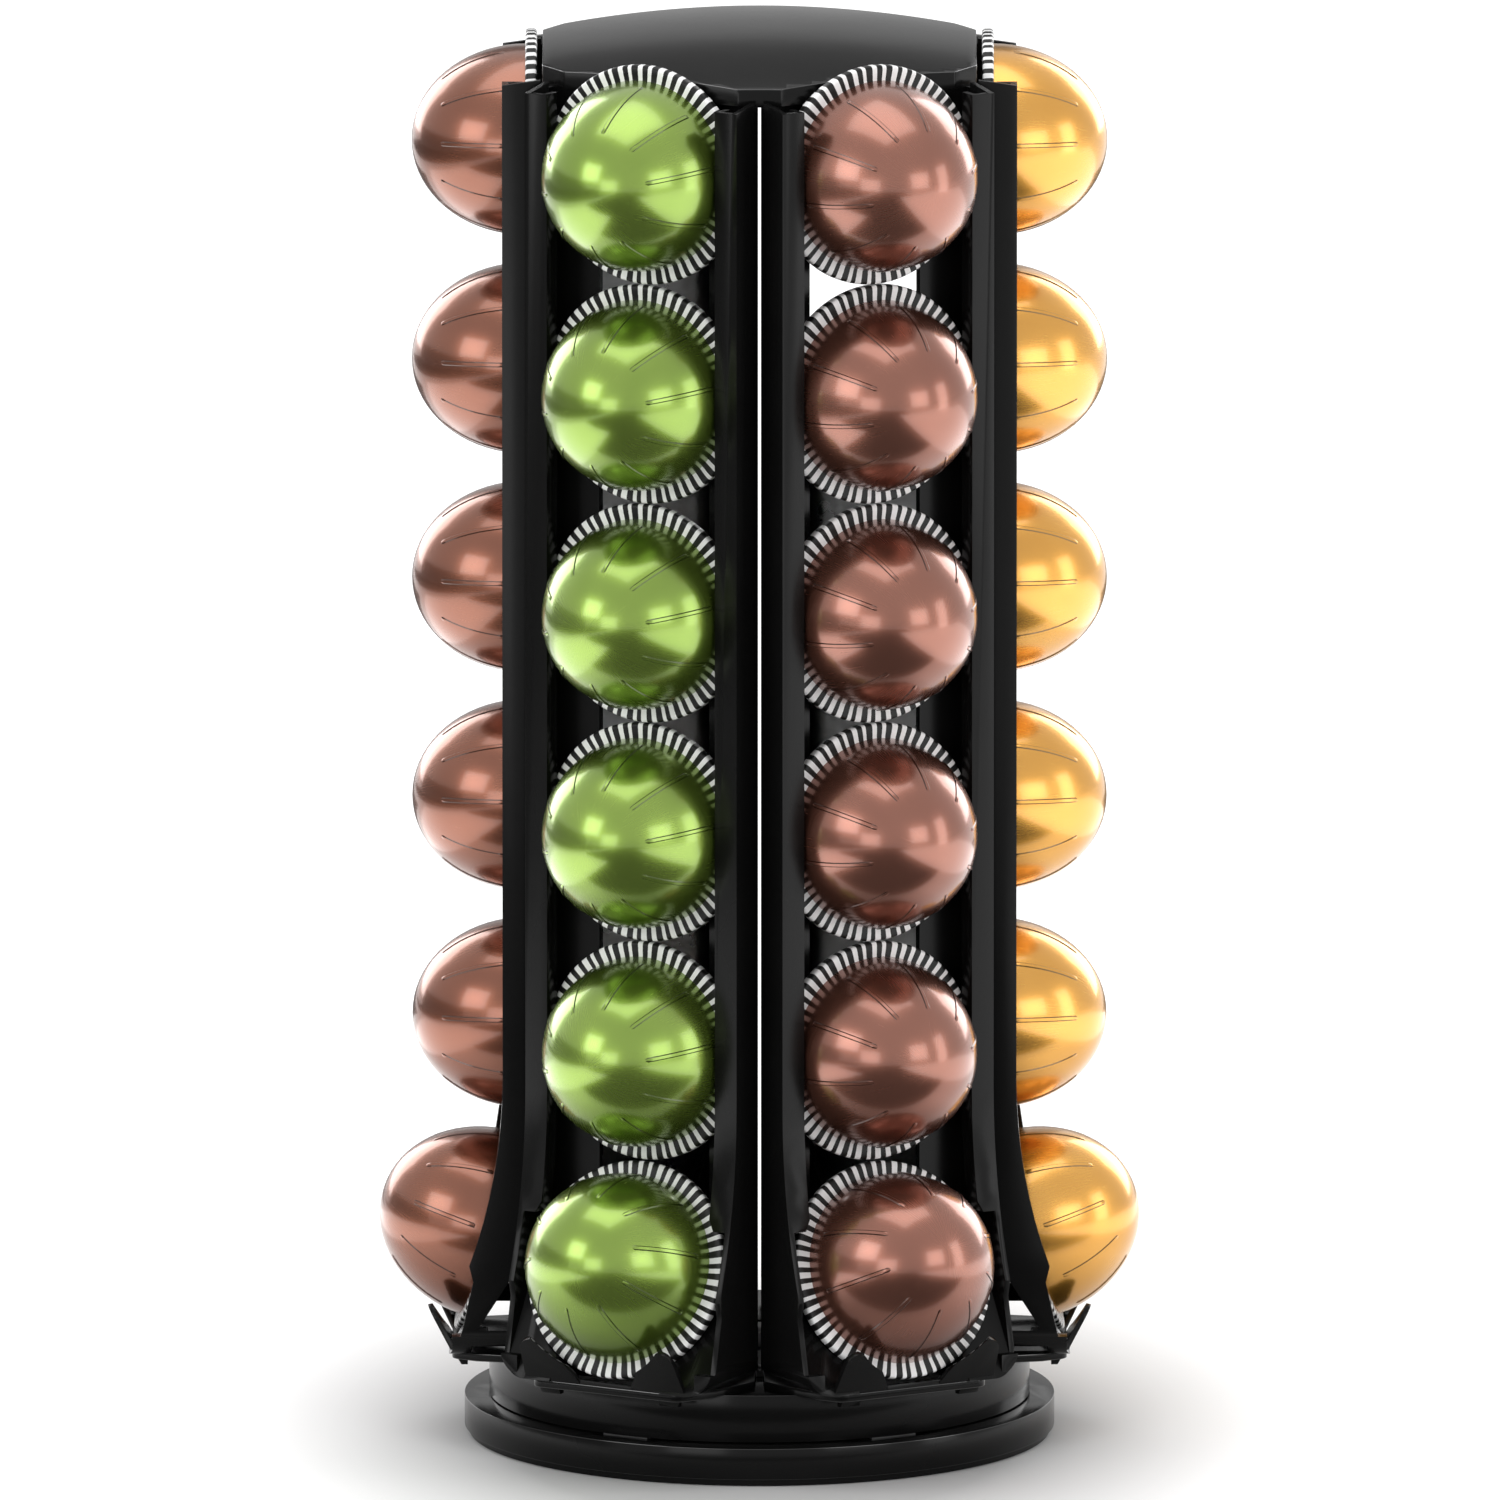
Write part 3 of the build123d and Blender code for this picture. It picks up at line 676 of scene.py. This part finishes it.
# %% Moulded parts with rounded edges
OPENING = ((66.0, 27.8), (66.0, 54.85), (83.3, 27.8))
OPENED_COLUMNS = 4
WELD = 0.004
FLAT_ANGLE = 0.6
CREASE = 30.0
COLUMN_EDGE = 0.25
EDGE_FACE, SAME_FACE = 1, -1
ROUND_PARTS = (
    ("lobed_plate", "carousel_plate", 0.3, "carousel"),
    ("drum", "turntable_drum", 0.5, "carousel"),
    ("base", "base_disc", 0.9, "base"),
)


def clean_copy(node):
    """A copy of a solid with doubled points merged and flat areas made whole again."""
    shape = bmesh.new()
    shape.from_mesh(nodes[node].data)
    bmesh.ops.remove_doubles(shape, verts=shape.verts, dist=WELD * MM)
    bmesh.ops.dissolve_limit(
        shape, angle_limit=radians(FLAT_ANGLE), verts=shape.verts, edges=shape.edges,
        delimit=set(), use_dissolve_boundaries=False,
    )
    return shape


def wall_faces(shape, side, point):
    """The faces of the side walls that a line along the side direction through a point meets."""
    return [
        face for face in shape.faces
        if abs(face.normal.dot(side)) > 0.99 and bmesh.geometry.intersect_face_point(face, point)
    ]


def open_side_walls(shape, column):
    """Cut the opening below the ramp through both side walls of a column's copy."""
    out, side = column_axes(column)
    corners = [(out * away + Vector((0.0, 0.0, high))) * MM for away, high in OPENING]
    middle = sum(corners, Vector()) / len(corners)
    for start, end in zip(corners, corners[1:] + corners[:1]):
        faces = wall_faces(shape, side, middle)
        edges = {edge for face in faces for edge in face.edges}
        points = {point for face in faces for point in face.verts}
        bmesh.ops.bisect_plane(
            shape, geom=[*faces, *edges, *points], plane_co=start,
            plane_no=(end - start).cross(side).normalized(), dist=MERGE,
        )
    cut = wall_faces(shape, side, middle)
    rings = {True: set(), False: set()}
    for face in cut:
        rings[face.calc_center_median().dot(side) > 0.0].update(face.edges)
    bmesh.ops.delete(shape, geom=cut, context="FACES_ONLY")
    for ring in rings.values():
        bmesh.ops.bridge_loops(shape, edges=list(ring))
    bmesh.ops.recalc_face_normals(shape, faces=shape.faces)


def round_edges(shape, edges, width, finish):
    """Round edges by a width in mm and give the new faces a finish by its number."""
    bmesh.ops.bevel(
        shape, geom=edges, offset=width * MM, offset_type="OFFSET", affect="EDGES",
        segments=2, profile=0.5, material=finish, clamp_overlap=True,
    )


def moulded(name, node, width, finish, rides_on, column=None):
    """Put a rounded copy in the place of its solid."""
    shape = clean_copy(node)
    if column is not None:
        open_side_walls(shape, column)
    sharp = [
        edge for edge in shape.edges
        if len(edge.link_faces) == 2 and edge.calc_face_angle(0.0) > radians(CREASE)
    ]
    round_edges(shape, sharp, width, EDGE_FACE)
    smooth(shape)
    piece = new_piece(name, shape, [finish, edge_black], rides_on)
    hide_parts(node)


for column in range(COLUMNS):
    label = column + 1
    opened = column if column < OPENED_COLUMNS else None
    moulded(
        f"column_{label}", f"channel_{label}", COLUMN_EDGE, channel_black, "carousel", opened,
    )
for name, node, width, rides_on in ROUND_PARTS:
    moulded(name, node, width, gloss_black, rides_on)
print("moulded parts rounded:", COLUMNS + len(ROUND_PARTS))

# %% [markdown]
# Seen from the side, the base ends in a low dark ring set a little inside its edge. It hides the
# rubber pads. A small four-sided outline is spun round the axis.

# %% Ring under the base
SKIRT_OUTLINE = ((79.2, 0.15), (81.2, 0.15), (81.2, 2.2), (79.2, 2.2))
SKIRT_STEPS = 144
skirt = spun(SKIRT_OUTLINE, SKIRT_STEPS, closed=True)
print("faces of the ring:", len(skirt.faces))
new_piece("base_skirt", skirt, [channel_black], "base")

# %% [markdown]
# The lid is a hexagon with its corners cut off. Its top is a shallow crown, like a slice of a very
# large ball, and a narrow bevel runs round its edge. A fine flat grid is trimmed to the
# outline, raised onto the ball, and its border is drawn down to make the side wall.

# %% Lid
LID_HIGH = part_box("lid")[1].z / MM
LID_FLAT = 60.5
LID_CORNER = 66.4
LID_SIDE = 5.7
LID_BALL = 412.0
LID_BEVEL = 1.0
CORNER_CREASE = 20.0
CORNER_EDGE = 0.3
NEARLY_UPRIGHT = 0.9
LID_WALL = 2.4
LID_GRID = 40
LID_CELL = 72.0


def lid_shape(bottom):
    """The lid's shell, standing on a given height in mm."""
    shape = bmesh.new()
    bmesh.ops.create_grid(shape, x_segments=LID_GRID, y_segments=LID_GRID, size=LID_CELL * MM)
    for number in range(2 * COLUMNS):
        heading = pi * number / COLUMNS
        away = LID_FLAT if number % 2 == 0 else LID_CORNER
        out = Vector((cos(heading), sin(heading), 0.0))
        everything = shape.verts[:] + shape.edges[:] + shape.faces[:]
        bmesh.ops.bisect_plane(
            shape, geom=everything, plane_co=out * away * MM, plane_no=out, clear_outer=True,
        )
    edge_height = bottom + LID_SIDE
    ball_middle = edge_height - sqrt(LID_BALL**2 - LID_FLAT**2)
    for point in shape.verts:
        far = point.co.xy.length / MM
        point.co.z = (ball_middle + sqrt(LID_BALL**2 - far**2)) * MM
    border = [edge for edge in shape.edges if len(edge.link_faces) == 1]
    drawn = bmesh.ops.extrude_edge_only(shape, edges=border)["geom"]
    for point in drawn:
        if isinstance(point, bmesh.types.BMVert):
            point.co.z = bottom * MM
    bmesh.ops.recalc_face_normals(shape, faces=shape.faces)
    if max(shape.faces, key=lambda face: face.calc_center_median().z).normal.z < 0:
        bmesh.ops.reverse_faces(shape, faces=shape.faces)
    return shape, border


crown = LID_BALL - sqrt(LID_BALL**2 - LID_FLAT**2)
shape, border = lid_shape(LID_HIGH - crown - LID_SIDE)
round_edges(shape, border, LID_BEVEL, EDGE_FACE)
corners = [
    edge for edge in shape.edges
    if len(edge.link_faces) == 2 and edge.calc_face_angle(0.0) > radians(CORNER_CREASE)
    and abs((edge.verts[0].co - edge.verts[1].co).normalized().z) > NEARLY_UPRIGHT
]
round_edges(shape, corners, CORNER_EDGE, SAME_FACE)
bmesh.ops.solidify(shape, geom=shape.faces, thickness=LID_WALL * MM)
smooth(shape)
lid = new_piece("lid_cap", shape, [gloss_black, edge_black], "carousel")
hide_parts("lid")
print("top of the lid in mm:", round(LID_HIGH, 1))

# %% [markdown]
# The hidden parts keep their solids. They only get their finishes.

# %% Finishes of the inner parts
INNER = {
    "top_plate": channel_black,
    "foot_pads": rubber.material,
    "glide_pads": glide.material,
    "pivot_bolt": steel.material,
    "lock_nut": steel.material,
}
for node, finish in INNER.items():
    nodes[node].data.materials.clear()
    nodes[node].data.materials.append(finish)
print("inner parts:", len(INNER))

# %% [markdown]
# Last, the script prints that the scene is built.

# %% End
print("scene built")
